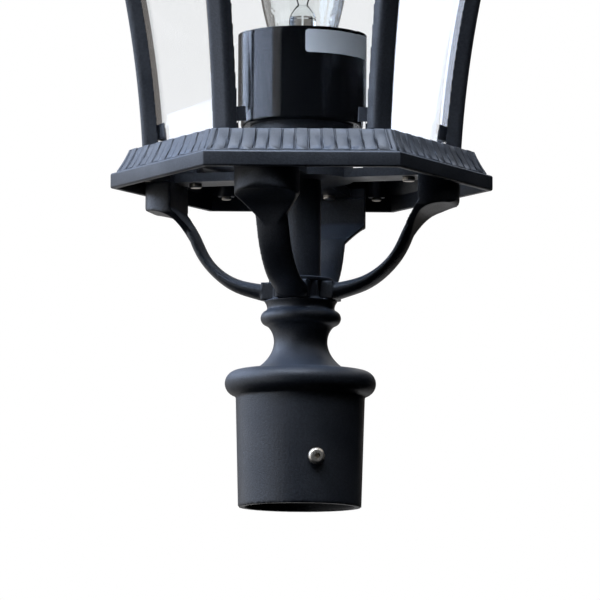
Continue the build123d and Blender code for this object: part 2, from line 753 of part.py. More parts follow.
# ---- roof ----
eave_bottom_z = ring_top_z - eave_drop
eave_top_z = eave_bottom_z + eave_h
roof_cove_z = eave_top_z + roof_cove_h
eave_apothem = ring_apothem + eave_over
roof_cove_apothem = eave_apothem - roof_cove_in
# the hexagonal roof above the fluted cove: apothem, height above the cove, down to the crown's seat
roof_line = [(roof_cove_apothem, roof_cove_z)]
roof_line += [(roof_cove_apothem * share, roof_cove_z + rise)
              for share, rise in ((0.90, 9.0), (0.75, 18.5), (0.56, 28.5), (0.40, 42.0), (0.30, 56.0))]
roof_line += [(roof_top_apothem, roof_top_z)]


roof_cove_foot = eave_apothem - 1.6
roof_cove_mid = (roof_cove_apothem + 2.0, eave_top_z + roof_cove_h * 0.45)


def roof_cove(shift):
    """The outline of the roof's fluted cove, moved sideways by shift."""
    ThreePointArc((roof_cove_foot + shift, eave_top_z + pad_margin),
                  (roof_cove_mid[0] + shift, roof_cove_mid[1]), (roof_cove_apothem + shift, roof_cove_z))


with BuildPart() as roof_sector:
    with BuildSketch(upright(0)):
        with BuildLine():
            Line((ring_apothem + eave_gap, eave_bottom_z), (eave_apothem - lip_edge, eave_bottom_z))
            Line((eave_apothem - lip_edge, eave_bottom_z), (eave_apothem, eave_bottom_z + lip_edge))
            Line((eave_apothem, eave_bottom_z + lip_edge), (eave_apothem, eave_top_z - lip_edge))
            Line((eave_apothem, eave_top_z - lip_edge), (eave_apothem - lip_edge, eave_top_z))
            Line((eave_apothem - lip_edge, eave_top_z), (roof_cove_foot, eave_top_z))
            Line((roof_cove_foot, eave_top_z), (roof_cove_foot, eave_top_z + pad_margin))
            roof_cove(0)
            Spline(*roof_line)
            Line((roof_top_apothem, roof_top_z), (roof_top_apothem - 6, roof_top_z))
            Line((roof_top_apothem - 6, roof_top_z), (roof_top_apothem - 6, roof_top_z - roof_wall))
            Line((roof_top_apothem - 6, roof_top_z - roof_wall),
                 (roof_top_apothem - roof_wall, roof_top_z - roof_wall))
            Spline(*reversed(moved(roof_line, -roof_wall, -roof_wall)))
            Line((roof_cove_apothem - roof_wall, roof_cove_z - roof_wall),
                 (ring_apothem - 3.0, ring_top_z + 3.0))
            Line((ring_apothem - 3.0, ring_top_z + 3.0), (ring_apothem - 3.0, ring_top_z))
            Line((ring_apothem - 3.0, ring_top_z), (ring_apothem + eave_gap, ring_top_z))
            Line((ring_apothem + eave_gap, ring_top_z), (ring_apothem + eave_gap, eave_bottom_z))
        make_face()
    extrude(amount=far / 2, both=True)
    add(wedge(0), mode=Mode.INTERSECT)

roof_cove_ends = ((roof_cove_foot, eave_top_z + pad_margin), (roof_cove_apothem, roof_cove_z))
with BuildPart() as fluted_roof_sector:
    add(roof_sector.part)
    add(flutes(pads, pad_depth, roof_cove, *roof_cove_ends), mode=Mode.SUBTRACT)
    add(flutes(pad_grooves + end_grooves, pad_edge_depth, roof_cove, *roof_cove_ends), mode=Mode.SUBTRACT)

with BuildPart() as roof:
    add(ring_of(fluted_roof_sector.part))
    for azimuth in roof_stud_az:
        with BuildSketch(level(azimuth, ring_top_z)):
            with Locations((roof_stud_r, 0)):
                Circle(stud_boss_r)
        extrude(amount=stud_boss_h)
        with BuildSketch(level(azimuth, ring_top_z)):
            with Locations((roof_stud_r, 0)):
                Circle(stud_r + stud_gap)
        extrude(amount=stud_boss_h, mode=Mode.SUBTRACT)
save(roof.part, "roof")

# ---- roof nuts: hexagonal with a dome, one on each stud ----
nut_seat_z = ring_top_z + stud_boss_h
for k, azimuth in enumerate(roof_stud_az):
    with BuildPart() as roof_nut:
        with BuildSketch(level(azimuth, nut_seat_z)):
            with Locations((roof_stud_r, 0)):
                RegularPolygon(dome_nut_flats / 2, 6, major_radius=False)
        extrude(amount=dome_nut_h * 0.5)
        with BuildSketch(level(azimuth, nut_seat_z + dome_nut_h * 0.5)):
            with Locations((roof_stud_r, 0)):
                Circle(dome_nut_flats * 0.47)
        extrude(amount=dome_nut_h * 0.5)
        fillet(roof_nut.edges().group_by(Axis.Z)[-1], radius=dome_nut_flats * 0.42)
        with BuildSketch(level(azimuth, nut_seat_z)):
            with Locations((roof_stud_r, 0)):
                Circle(stud_r + screw_gap)
        extrude(amount=stud_reach + 1.0, mode=Mode.SUBTRACT)
    save(roof_nut.part, f"roof_nut_{k + 1}")

# ---- crown with its strap and stud ----
crown_top_z = roof_top_z + crown_flange_h + crown_h
with BuildPart() as crown:
    with BuildSketch(Plane.XY.offset(roof_top_z)):
        Circle(crown_flange_r)
    extrude(amount=crown_flange_h)
    fillet(crown.edges().group_by(Axis.Z)[-1], radius=crown_flange_h * 0.5)
    with BuildSketch(Plane.XY.offset(roof_top_z)):
        Circle(crown_r)
    extrude(amount=crown_flange_h + crown_h)
    with BuildSketch(Plane.XY.offset(roof_top_z)):
        Circle(crown_r - crown_wall)
    extrude(amount=crown_flange_h + crown_h - crown_wall, mode=Mode.SUBTRACT)
    with BuildSketch(Plane.XY.offset(roof_top_z)):
        Circle(crown_stud_r + screw_gap)
    extrude(amount=far, mode=Mode.SUBTRACT)
    with BuildSketch(Plane.XY.offset(roof_top_z + crown_flange_h + vent_sill)):
        with PolarLocations(crown_r, vent_count):
            Rectangle(4 * crown_wall, vent_w)
    extrude(amount=vent_h, mode=Mode.SUBTRACT)
save(crown.part, "crown")

strap_top_z = roof_top_z - roof_wall
with BuildPart() as crown_strap:
    with BuildSketch(Plane.XY.offset(strap_top_z - strap_h)):
        Rectangle(strap_w, 2 * roof_top_apothem - 7.0)
        Circle(crown_stud_r + screw_gap, mode=Mode.SUBTRACT)
    extrude(amount=strap_h)
    chamfer(crown_strap.edges().filter_by(Axis.Z), 2.0)
save(crown_strap.part, "crown_strap")

stud_bottom_z = strap_top_z - strap_h - 4.0
cap_top_z = crown_top_z + cap_h
with BuildPart() as crown_stud:
    with BuildSketch(Plane.XY.offset(stud_bottom_z)):
        Circle(crown_stud_r)
    extrude(amount=cap_top_z + finial_bore - 1.0 - stud_bottom_z)
save(crown_stud.part, "crown_stud")

# ---- vent cap: a domed umbrella over the crown's vents ----
with BuildPart() as vent_cap:
    with BuildSketch(Plane.XZ):
        with BuildLine():
            inner = crown_stud_r + screw_gap
            Line((inner, crown_top_z), (crown_r + 1.0, crown_top_z))
            Line((crown_r + 1.0, crown_top_z), (cap_r - 1.2, crown_top_z - cap_drop))
            Line((cap_r - 1.2, crown_top_z - cap_drop), (cap_r, crown_top_z - cap_drop + 1.2))
            ThreePointArc((cap_r, crown_top_z - cap_drop + 1.2), (cap_r * 0.78, crown_top_z + cap_h * 0.52),
                          (cap_r * 0.38, cap_top_z - 1.5))
            Line((cap_r * 0.38, cap_top_z - 1.5), (cap_r * 0.34, cap_top_z))
            Line((cap_r * 0.34, cap_top_z), (inner, cap_top_z))
            Line((inner, cap_top_z), (inner, crown_top_z))
        make_face()
    revolve(axis=Axis.Z)
save(vent_cap.part, "vent_cap")

# ---- finial: turned, with a blind bore for the stud ----
finial_r = 10.0
neck_h, bead_h, ball_h, ball_r = 11.0, 17.0, 29.0, 8.5
with BuildPart() as finial:
    with BuildSketch(Plane.XZ):
        with BuildLine():
            Line((crown_stud_r + screw_gap, cap_top_z), (finial_r, cap_top_z))
            ThreePointArc((finial_r, cap_top_z), (finial_r + 0.8, cap_top_z + 1.8), (finial_r, cap_top_z + 3.6))
            ThreePointArc((finial_r, cap_top_z + 3.6), (6.9, cap_top_z + 6.4), (6.2, cap_top_z + neck_h))
            ThreePointArc((6.2, cap_top_z + neck_h), (8.6, cap_top_z + 14.0), (6.0, cap_top_z + bead_h))
            ThreePointArc((6.0, cap_top_z + bead_h), (4.8, cap_top_z + 19.4), (5.6, cap_top_z + 22.6))
            ThreePointArc((5.6, cap_top_z + 22.6), (ball_r, cap_top_z + ball_h), (3.2, cap_top_z + 36.8))
            Line((3.2, cap_top_z + 36.8), (1.4, cap_top_z + finial_h - 1.4))
            Line((1.4, cap_top_z + finial_h - 1.4), (0, cap_top_z + finial_h))
            Line((0, cap_top_z + finial_h), (0, cap_top_z + finial_bore))
            Line((0, cap_top_z + finial_bore), (crown_stud_r + screw_gap, cap_top_z + finial_bore))
            Line((crown_stud_r + screw_gap, cap_top_z + finial_bore), (crown_stud_r + screw_gap, cap_top_z))
        make_face()
    revolve(axis=Axis.Z)
save(finial.part, "finial")

# ---- cup round the lampholder ----
with BuildPart() as holder_cup:
    with BuildSketch(Plane.XY.offset(stand_top_z)):
        Circle(cup_r)
    extrude(amount=cup_h)
    fillet(holder_cup.edges().group_by(Axis.Z)[0], radius=1.5)
    with BuildSketch(Plane.XY.offset(stand_top_z + cup_floor)):
        Circle(cup_r - cup_wall)
    extrude(amount=cup_h, mode=Mode.SUBTRACT)
    with BuildSketch(Plane.XY.offset(stand_top_z)):
        Circle(tube_r + tube_gap)
    extrude(amount=cup_floor, mode=Mode.SUBTRACT)
save(holder_cup.part, "holder_cup")

# ---- blank label on the cup ----
label_h = label_z[1] - label_z[0]
with BuildPart() as holder_label:
    with BuildSketch(Plane.XY.offset(label_z[0])):
        Circle(cup_r + label_t)
        Circle(cup_r, mode=Mode.SUBTRACT)
        rays = [(2 * cup_r * cos(radians(a - 90)), 2 * cup_r * sin(radians(a - 90)))
                for a in (label_az[0], sum(label_az) / 2, label_az[1])]
        Polygon((0, 0), *rays, align=None, mode=Mode.INTERSECT)
    extrude(amount=label_h)
    short = holder_label.edges().filter_by(lambda e: e.length < 2 * label_t)
    fillet(short, radius=label_corner_r)
save(holder_label.part, "holder_label")

# ---- lampholder, its screw shell and its centre contact ----
holder_floor_z = lamp_bottom_z - 3.0
shell_r = shell_bore_r + shell_t
with BuildPart() as lampholder:
    with BuildSketch(Plane.XZ):
        with BuildLine():
            base_z = stand_top_z + cup_floor
            Polyline((tube_r + screw_gap, base_z), (holder_r * 0.7, base_z), (holder_r * 0.7, base_z + 3.5),
                     (holder_r, base_z + 8.0), (holder_r, holder_top_z - 1.5),
                     (holder_r - 1.5, holder_top_z), (shell_r + screw_gap, holder_top_z),
                     (shell_r + screw_gap, holder_floor_z), (0, holder_floor_z), (0, tube_top_z),
                     (tube_r + screw_gap, tube_top_z), close=True)
        make_face()
    revolve(axis=Axis.Z)
save(lampholder.part, "lampholder")

with BuildPart() as holder_shell:
    with BuildSketch(Plane.XY.offset(holder_floor_z)):
        Circle(shell_r)
        Circle(shell_bore_r, mode=Mode.SUBTRACT)
    extrude(amount=cap_len + 2.0)
save(holder_shell.part, "holder_shell")

with BuildPart() as holder_contact:
    with BuildSketch(Plane.XY.offset(holder_floor_z)):
        Rectangle(18.0, 6.0)
    extrude(amount=0.8)
    with BuildSketch(Plane.XY.offset(holder_floor_z)):
        Circle(3.5)
    extrude(amount=lamp_bottom_z - contact_gap - holder_floor_z)
save(holder_contact.part, "holder_contact")

# ---- lamp: contact, insulator, screw cap, glass, stem and filament ----
insulator_z = lamp_bottom_z + 1.2
cap_z = lamp_bottom_z + 3.8
cap_end_z = lamp_bottom_z + cap_len
root_r = lamp_cap_r - thread_depth
with BuildPart() as lamp_contact:
    with BuildSketch(Plane.XY.offset(lamp_bottom_z)):
        Circle(4.4)
    extrude(amount=insulator_z - lamp_bottom_z)
    fillet(lamp_contact.edges().group_by(Axis.Z)[0], radius=0.8)
save(lamp_contact.part, "lamp_contact")

with BuildPart() as lamp_insulator:
    with BuildSketch(Plane.XY.offset(insulator_z)):
        Circle(5.0)
    with BuildSketch(Plane.XY.offset(cap_z)):
        Circle(9.5)
    loft()
save(lamp_insulator.part, "lamp_insulator")

thread_turns = 4
thread_z = cap_z + 2.6
with BuildPart() as lamp_cap:
    with BuildSketch(Plane.XZ):
        with BuildLine():
            Line((0, cap_z), (9.5, cap_z))
            Line((9.5, cap_z), (root_r, thread_z))
            for turn in range(thread_turns):
                z = thread_z + turn * thread_pitch
                ThreePointArc((root_r, z), (lamp_cap_r, z + thread_pitch / 2), (root_r, z + thread_pitch))
            z = thread_z + thread_turns * thread_pitch
            Line((root_r, z), (lamp_cap_r, cap_end_z))
            Line((lamp_cap_r, cap_end_z), (seal_r, cap_end_z))
            Polyline((seal_r, cap_end_z), (seal_r, thread_z), (9.0, cap_z + 0.8), (0, cap_z + 0.8), (0, cap_z))
        make_face()
    revolve(axis=Axis.Z)
save(lamp_cap.part, "lamp_cap")

# the glass is a thin shell of one outline, drawn at its outer and inner face
bulb_z = lamp_bottom_z + lamp_h - bulb_r
flank = [(14.6, 260.6), (17.8, 266.0), (19.8, 271.0), (21.4, 277.0), (23.5, 287.0)]


def bulb_line(wall):
    """Half outline of the lamp's glass, wall inside its outer face: seal, neck, flank and ball."""
    ball = bulb_r - wall
    low = (ball * cos(radians(30)), bulb_z - ball * sin(radians(30)))
    Line((seal_r - 0.1 - wall, cap_end_z - seal_len), (seal_r - 0.1 - wall, cap_end_z))
    Spline((seal_r - 0.1 - wall, cap_end_z), *[(r - wall, z) for r, z in flank], low,
           tangents=[(0.2, 1), (0.5, 0.866)])
    ThreePointArc(low, (ball, bulb_z), (0, bulb_z + ball))


with BuildPart() as lamp_glass:
    with BuildSketch(Plane.XZ):
        with BuildLine():
            bulb_line(0)
            Line((0, bulb_z + bulb_r), (0, bulb_z + bulb_r - bulb_wall))
            bulb_line(bulb_wall)
            Line((seal_r - 0.1 - bulb_wall, cap_end_z - seal_len), (seal_r - 0.1, cap_end_z - seal_len))
        make_face()
    revolve(axis=Axis.Z)
save(lamp_glass.part, "lamp_glass")

stem_top_z = 284.0
with BuildPart() as lamp_stem:
    with BuildSketch(Plane.XZ):
        with BuildLine():
            foot_z = cap_end_z - seal_len
            Polyline((0, foot_z), (seal_r - 0.3 - bulb_wall, foot_z), (stem_r + 1.0, foot_z + 8.0),
                     (stem_r, foot_z + 14.0), (stem_r, stem_top_z - 8.0))
            ThreePointArc((stem_r, stem_top_z - 8.0), (stem_r * 0.72, stem_top_z - 3.0),
                          (stem_r * 0.4, stem_top_z))
            Line((stem_r * 0.4, stem_top_z), (0, stem_top_z))
            Line((0, stem_top_z), (0, foot_z))
        make_face()
    revolve(axis=Axis.Z)
    with BuildSketch(Plane.XY.offset(stem_top_z - 7.0)):
        Rectangle(4 * stem_r, 4 * stem_r)
        Rectangle(4 * stem_r, stem_press_t, mode=Mode.SUBTRACT)
    extrude(amount=far, mode=Mode.SUBTRACT)
save(lamp_stem.part, "lamp_stem")


def rod(a, b, r):
    """Straight round rod from one point to another."""
    run = Vector(*b) - Vector(*a)
    with BuildPart() as piece:
        with BuildSketch(Plane(origin=a, z_dir=run)):
            Circle(r)
        extrude(amount=run.length)
    return piece.part


filament_z = bulb_z + 4.0
filament_r = 15.0
with BuildPart() as lamp_filament:
    for s in (-1, 1):
        add(rod((s * 2.4, 0, stem_top_z + 0.2), (s * 4.5, 0, stem_top_z + 8), wire_r))
        add(rod((s * 4.5, 0, stem_top_z + 8), (s * filament_r, 0, filament_z), wire_r))
        for x, z in ((s * 4.5, stem_top_z + 8), (s * filament_r, filament_z)):
            with Locations((x, 0, z)):
                Sphere(wire_r)
    with BuildLine() as filament_path:
        ThreePointArc((-filament_r, 0, filament_z), (0, -filament_r * 0.9, filament_z + 2),
                      (filament_r, 0, filament_z))
    with BuildSketch(filament_path.line ^ 0):
        Circle(wire_r)
    sweep(path=filament_path.line)
save(lamp_filament.part, "lamp_filament")
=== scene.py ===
import json
import math

import bmesh
import bpy
from mathutils import Matrix, Vector


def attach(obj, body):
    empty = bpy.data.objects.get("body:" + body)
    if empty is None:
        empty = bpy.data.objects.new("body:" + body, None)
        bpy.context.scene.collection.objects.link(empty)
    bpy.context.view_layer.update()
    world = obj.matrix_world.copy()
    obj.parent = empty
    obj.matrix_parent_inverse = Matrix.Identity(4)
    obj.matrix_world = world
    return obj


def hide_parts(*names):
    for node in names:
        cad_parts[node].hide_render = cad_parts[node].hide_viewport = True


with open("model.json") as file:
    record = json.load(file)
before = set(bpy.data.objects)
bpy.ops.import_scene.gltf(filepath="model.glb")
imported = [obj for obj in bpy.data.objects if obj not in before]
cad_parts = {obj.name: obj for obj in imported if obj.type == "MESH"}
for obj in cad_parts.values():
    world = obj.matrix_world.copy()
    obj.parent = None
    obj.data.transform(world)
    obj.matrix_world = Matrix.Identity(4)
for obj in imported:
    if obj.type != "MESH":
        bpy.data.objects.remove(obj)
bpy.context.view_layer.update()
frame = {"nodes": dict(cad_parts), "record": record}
nodes = frame["nodes"]
mm = 0.001
print("frame loaded,", len(nodes), "nodes")


# small helpers

def linearColour(hexText):
    parts = [int(hexText[i:i + 2], 16) / 255 for i in (1, 3, 5)]
    linear = [c / 12.92 if c <= 0.04045 else ((c + 0.055) / 1.055) ** 2.4 for c in parts]
    return (*linear, 1.0)


def addNode(tree, kind, settings=None, links=None):
    # settings are sockets (by name or number) or properties, links are sockets to join
    node = tree.nodes.new(kind)
    for key, value in (settings or {}).items():
        if isinstance(key, int) or key in node.inputs:
            node.inputs[key].default_value = value
        else:
            setattr(node, key, value)
    for key, source in (links or {}).items():
        tree.links.new(source, node.inputs[key])
    return node


def newMaterial(name):
    # a material with a Principled shader, and its object coordinates
    material = bpy.data.materials.new(name)
    material.use_nodes = True
    tree = material.node_tree
    tree.nodes.clear()
    where = addNode(tree, "ShaderNodeTexCoord").outputs["Object"]
    shader = addNode(tree, "ShaderNodeBsdfPrincipled")
    out = addNode(tree, "ShaderNodeOutputMaterial", links={"Surface": shader.outputs[0]})
    return material, tree, where, shader, out


def perMetre(size):
    # a texture's scale from the real size of its grain, in millimetres
    return 1 / (size * mm)


def atAzimuth(azimuth, r, z):
    # the same azimuth as the part uses: 0 is the front, 90 is +X
    a = math.radians(azimuth - 90)
    return Vector((r * math.cos(a), r * math.sin(a), z)) * mm


# finishes

powderCoat = {
    "colour": "#1f2125",
    "worn": "#2c2f34",       # chalked by the weather, in patches
    "dustAndTopLight": "#565d68",       # dust on the upward faces, and painted sky light there: the tops drawn lighter and bluer
    "grit": 1.1,             # mm, the coat's orange peel is about 0.5 and is drawn coarser to show
    "sand": 0.55,            # mm, the sandy grain in it
    "patch": 26.0,           # mm, slow changes of gloss
    "roughness": (0.38, 0.56),
    "bump": 0.55,
}


def makePowderCoat():
    # black polyester powder coat, sprayed and baked on cast aluminium: satin, with a fine sandy skin
    material, tree, where, shader, out = newMaterial("blackPowderCoat")
    values = powderCoat
    grit = addNode(tree, "ShaderNodeTexNoise", {"Scale": perMetre(values["grit"]), "Detail": 2.0,
                   "Roughness": 0.55}, {"Vector": where})
    sand = addNode(tree, "ShaderNodeTexNoise", {"Scale": perMetre(values["sand"]), "Detail": 1.0},
                   {"Vector": where})
    patch = addNode(tree, "ShaderNodeTexNoise", {"Scale": perMetre(values["patch"]), "Detail": 4.0},
                    {"Vector": where})
    # dust and painted sky light: faces turned up are mixed towards a lighter bluish grey, in slow patches
    normal = addNode(tree, "ShaderNodeNewGeometry").outputs["Normal"]
    height = addNode(tree, "ShaderNodeSeparateXYZ", links={0: normal})
    upward = addNode(tree, "ShaderNodeMapRange", {"From Min": 0.05, "From Max": 0.7, "To Max": 1.0},
                     {"Value": height.outputs["Z"]})
    settled = addNode(tree, "ShaderNodeMapRange", {"From Min": 0.25, "From Max": 0.65, "To Min": 0.45},
                      {"Value": patch.outputs[0]})
    dustAndTopLight = addNode(tree, "ShaderNodeMath", {"operation": "MULTIPLY"},
                   {0: upward.outputs[0], 1: settled.outputs[0]})
    chalk = addNode(tree, "ShaderNodeMapRange", {"From Min": 0.35, "From Max": 0.7},
                    {"Value": grit.outputs[0]})
    coat = addNode(tree, "ShaderNodeMix", {"data_type": "RGBA", 6: linearColour(values["colour"]),
                   7: linearColour(values["worn"])}, {0: chalk.outputs[0]})
    colour = addNode(tree, "ShaderNodeMix", {"data_type": "RGBA", 7: linearColour(values["dustAndTopLight"])},
                     {0: dustAndTopLight.outputs[0], 6: coat.outputs[2]})
    low, high = values["roughness"]
    rough = addNode(tree, "ShaderNodeMapRange", {"From Min": 0.3, "From Max": 0.7, "To Min": low,
                    "To Max": high}, {"Value": patch.outputs[0]})
    grain = addNode(tree, "ShaderNodeMath", {"operation": "MULTIPLY_ADD", 1: 0.5},
                    {0: sand.outputs[0], 2: grit.outputs[0]})
    bump = addNode(tree, "ShaderNodeBump", {"Strength": values["bump"], "Distance": 0.2 * mm},
                   {"Height": grain.outputs[0]})
    tree.links.new(colour.outputs[2], shader.inputs["Base Color"])
    tree.links.new(rough.outputs[0], shader.inputs["Roughness"])
    tree.links.new(bump.outputs[0], shader.inputs["Normal"])
    shader.inputs["IOR"].default_value = 1.5
    return material


paneGlass = {"colour": "#fdfeff", "ior": 1.45, "gloss": 0.5, "film": 30.0}
blownGlass = {"colour": "#fafcfc", "ior": 1.5, "gloss": 0.5, "film": 12.0}


def makeClearGlass(name, values):
    # soda-lime glass, drawn or blown: clear, almost colourless and smooth. Lamps shine through it
    material, tree, where, shader, out = newMaterial(name)
    shader.inputs["Base Color"].default_value = linearColour(values["colour"])
    shader.inputs["Transmission Weight"].default_value = 1.0
    shader.inputs["IOR"].default_value = values["ior"]
    shader.inputs["Specular IOR Level"].default_value = values["gloss"]
    film = addNode(tree, "ShaderNodeTexNoise", {"Scale": perMetre(values["film"]),
                   "Detail": 4.0}, {"Vector": where})
    rough = addNode(tree, "ShaderNodeMapRange", {"From Min": 0.45, "From Max": 0.75, "To Min": 0.0,
                    "To Max": 0.05}, {"Value": film.outputs[0]})
    tree.links.new(rough.outputs[0], shader.inputs["Roughness"])
    clear = addNode(tree, "ShaderNodeBsdfTransparent", {"Color": linearColour(values["colour"])})
    shadow = addNode(tree, "ShaderNodeLightPath").outputs["Is Shadow Ray"]
    mix = addNode(tree, "ShaderNodeMixShader", links={0: shadow, 1: shader.outputs[0],
                  2: clear.outputs[0]})
    tree.links.new(mix.outputs[0], out.inputs["Surface"])
    return material


metals = {
    # colour, roughness, grain in mm, bump
    "stainlessSteel": ("#d2cabd", 0.44, 0.8, 0.05),   # turned and tumbled
    "zincPlatedSteel": ("#a9a8a2", 0.38, 2.0, 0.08),  # bright zinc, slightly milky
    "plainBrass": ("#c8a458", 0.30, 2.0, 0.05),       # pressed strip
    "leadFreeSolder": ("#9c9c9a", 0.45, 1.5, 0.15),   # a cast drop
    "rolledAluminium": ("#c9c9c7", 0.28, 1.5, 0.06),  # thin, spun
    "tungstenWire": ("#5d5c5e", 0.42, 0.4, 0.05),     # drawn
}


def makeMetal(name):
    # bare metal: a fine grain in its gloss and colour
    colour, roughness, grain, bumpSize = metals[name]
    material, tree, where, shader, out = newMaterial(name)
    noise = addNode(tree, "ShaderNodeTexNoise", {"Scale": perMetre(grain), "Detail": 3.0},
                    {"Vector": where})
    rough = addNode(tree, "ShaderNodeMapRange", {"To Min": roughness * 0.7, "To Max": roughness * 1.3},
                    {"Value": noise.outputs[0]})
    bump = addNode(tree, "ShaderNodeBump", {"Strength": bumpSize, "Distance": 0.1 * mm},
                   {"Height": noise.outputs[0]})
    shader.inputs["Base Color"].default_value = linearColour(colour)
    shader.inputs["Metallic"].default_value = 1.0
    tree.links.new(rough.outputs[0], shader.inputs["Roughness"])
    tree.links.new(bump.outputs[0], shader.inputs["Normal"])
    return material


plastics = {
    # colour, second colour, roughness, grain in mm, ior
    "blackPhenolic": ("#090a0b", "#0d0e10", 0.14, 6.0, 1.48),     # moulded thermoset, glossy from the tool
    "labelFoilPaintedPale": ("#dcdedd", "#e4e5e3", 0.42, 3.0, 1.46),    # satin foil, painted pale: the colour stands in for the light on its front, which is dim here
    "glazedPorcelain": ("#e4e0d6", "#dcd7cb", 0.12, 9.0, 1.52),  # slightly warm white glaze
    "blackCapGlass": ("#08080c", "#0c0c12", 0.10, 4.0, 1.52),    # fused insulator bead
}


def makePlastic(name):
    # a smooth non-metal: slow changes of colour and gloss from moulding or glazing
    first, second, roughness, grain, ior = plastics[name]
    material, tree, where, shader, out = newMaterial(name)
    noise = addNode(tree, "ShaderNodeTexNoise", {"Scale": perMetre(grain), "Detail": 4.0},
                    {"Vector": where})
    colour = addNode(tree, "ShaderNodeMix", {"data_type": "RGBA", 6: linearColour(first),
                     7: linearColour(second)}, {0: noise.outputs[0]})
    rough = addNode(tree, "ShaderNodeMapRange", {"To Min": roughness * 0.8, "To Max": roughness * 1.3},
                    {"Value": noise.outputs[0]})
    tree.links.new(colour.outputs[2], shader.inputs["Base Color"])
    tree.links.new(rough.outputs[0], shader.inputs["Roughness"])
    shader.inputs["IOR"].default_value = ior
    return material


finishOf = {
    "powder_coat": makePowderCoat(),
    "pane_glass": makeClearGlass("bevelledPaneGlass", paneGlass),
    "stainless": makeMetal("stainlessSteel"),
    "zinc_steel": makeMetal("zincPlatedSteel"),
    "cup_plastic": makePlastic("blackPhenolic"),
    "label_foil": makePlastic("labelFoilPaintedPale"),
    "porcelain": makePlastic("glazedPorcelain"),
    "brass": makeMetal("plainBrass"),
    "solder": makeMetal("leadFreeSolder"),
    "cap_glass": makePlastic("blackCapGlass"),
    "lamp_cap_metal": makeMetal("rolledAluminium"),
    "lamp_glass": makeClearGlass("blownLampGlass", blownGlass),
    "filament_wire": makeMetal("tungstenWire"),
}
slotOf = {p["node"]: p["material_slot"] for p in frame["record"]["subparts"]}
for name, node in nodes.items():
    node.data.materials.clear()
    node.data.materials.append(finishOf[slotOf[name]])
print("finishes made:", len(finishOf))


# castings: their soft arrises

bodyOf = {n: body for body, names in frame["record"]["behaviour"]["bodies"].items() for n in names}
castings = {
    "grain": 0.75,     # mm between the points of a remade skin, which also rounds its arrises
    "passes": 2,       # of smoothing, the more the softer
    "pull": 0.5,       # how far each pass moves a point towards its neighbours
    "arris": 0.5,      # mm taken off the edges of the base, whose flutes are too fine to remake
    "rows": 2,         # of faces across each arris
    "turn": 32,        # degrees, the least turn that counts as an arris
    "join": 0.01,      # mm, points nearer than this are one point
}
smoothNodes = ["fitter"] + [f"arm_{i}" for i in range(1, 5)] + [f"rib_{i}" for i in range(1, 7)]
crispNodes = ["skirt"]


def castingOf(nodeName, mesh):
    # a piece that stands for a cast node, in the node's own place and on its body
    mesh.materials.clear()
    mesh.materials.append(finishOf["powder_coat"])
    piece = bpy.data.objects.new(nodeName + "Cast", mesh)
    bpy.context.scene.collection.objects.link(piece)
    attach(piece, bodyOf[nodeName])
    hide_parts(nodeName)
    return piece


def makeSmoothCasting(nodeName):
    # the soft, slightly slack surface that sand, fettling and a thick coat leave
    piece = castingOf(nodeName, nodes[nodeName].data.copy())
    skin = piece.modifiers.new("skin", "REMESH")
    skin.mode = "VOXEL"
    skin.voxel_size = castings["grain"] * mm
    skin.use_smooth_shade = True
    soften = piece.modifiers.new("soften", "SMOOTH")
    soften.factor = castings["pull"]
    soften.iterations = castings["passes"]


def makeCrispCasting(nodeName):
    # the flutes keep their own faces, which aren't merged: bevelled after a merge, they leave stray
    # faces. Every arris gets a narrow round that catches the light
    shape = bmesh.new()
    shape.from_mesh(nodes[nodeName].data)
    bmesh.ops.remove_doubles(shape, verts=shape.verts, dist=castings["join"] * mm)
    for face in shape.faces:
        face.smooth = True
    mesh = bpy.data.meshes.new(nodeName + "Cast")
    shape.to_mesh(mesh)
    shape.free()
    arris = castingOf(nodeName, mesh).modifiers.new("arris", "BEVEL")
    arris.width = castings["arris"] * mm
    arris.segments = castings["rows"]
    arris.limit_method = "ANGLE"
    arris.angle_limit = math.radians(castings["turn"])
    arris.use_clamp_overlap = False
    arris.harden_normals = True


for name in smoothNodes:
    makeSmoothCasting(name)
for name in crispNodes:
    makeCrispCasting(name)
print("castings made:", len(smoothNodes) + len(crispNodes))


# stage: floor, world, lamps, dark flags

stage = {
    "floorZ": -2.2,            # the foot of a garden post
    "floorHalf": 30.0,
    "floorColour": "#dedede",
    "floorGlow": 0.72,         # what the camera, gloss and glass see of it besides its own shade
    "worldLight": 0.16,
    "worldColour": "#dce8ff",
}

cards = {
    # from and to azimuth, radius (m), lowest and highest (m), colour, and 1 if lit from its own back
    "frontFlag": (-34, 150, 1.5, -1.2, 1.1, "#0c0c0d", 0),
    "backLeftCard": (-177, -142, 8.0, -2.0, 4.0, "#8b8682", 1),
    "backRightCard": (142, 177, 8.0, -2.0, 4.0, "#8b8682", 1),
}
lowCard = {"z": -0.6, "radius": 1.3, "colour": "#08080a"}
cardSteps = 24    # flat strips in each screen's curve


def seenDirectly(tree):
    # 1 for what the camera sees, straight, in gloss or through glass
    path = addNode(tree, "ShaderNodeLightPath").outputs
    glossy = addNode(tree, "ShaderNodeMath", {"operation": "MAXIMUM"},
                     {0: path["Is Camera Ray"], 1: path["Is Glossy Ray"]})
    seen = addNode(tree, "ShaderNodeMath", {"operation": "MAXIMUM"},
                   {0: glossy.outputs[0], 1: path["Is Transmission Ray"]})
    return seen.outputs[0]


def makeFloor():
    material, tree, where, shader, out = newMaterial("paleFloor")
    shader.inputs["Base Color"].default_value = linearColour(stage["floorColour"])
    shader.inputs["Roughness"].default_value = 0.9
    shader.inputs["Emission Color"].default_value = (1, 1, 1, 1)
    glow = addNode(tree, "ShaderNodeMath", {"operation": "MULTIPLY", 1: stage["floorGlow"]},
                   {0: seenDirectly(tree)})
    tree.links.new(glow.outputs[0], shader.inputs["Emission Strength"])
    half, z = stage["floorHalf"], stage["floorZ"]
    corners = [(-half, -half, z), (half, -half, z), (half, half, z), (-half, half, z)]
    addStagePiece("floor", corners, [(0, 1, 2, 3)], material)


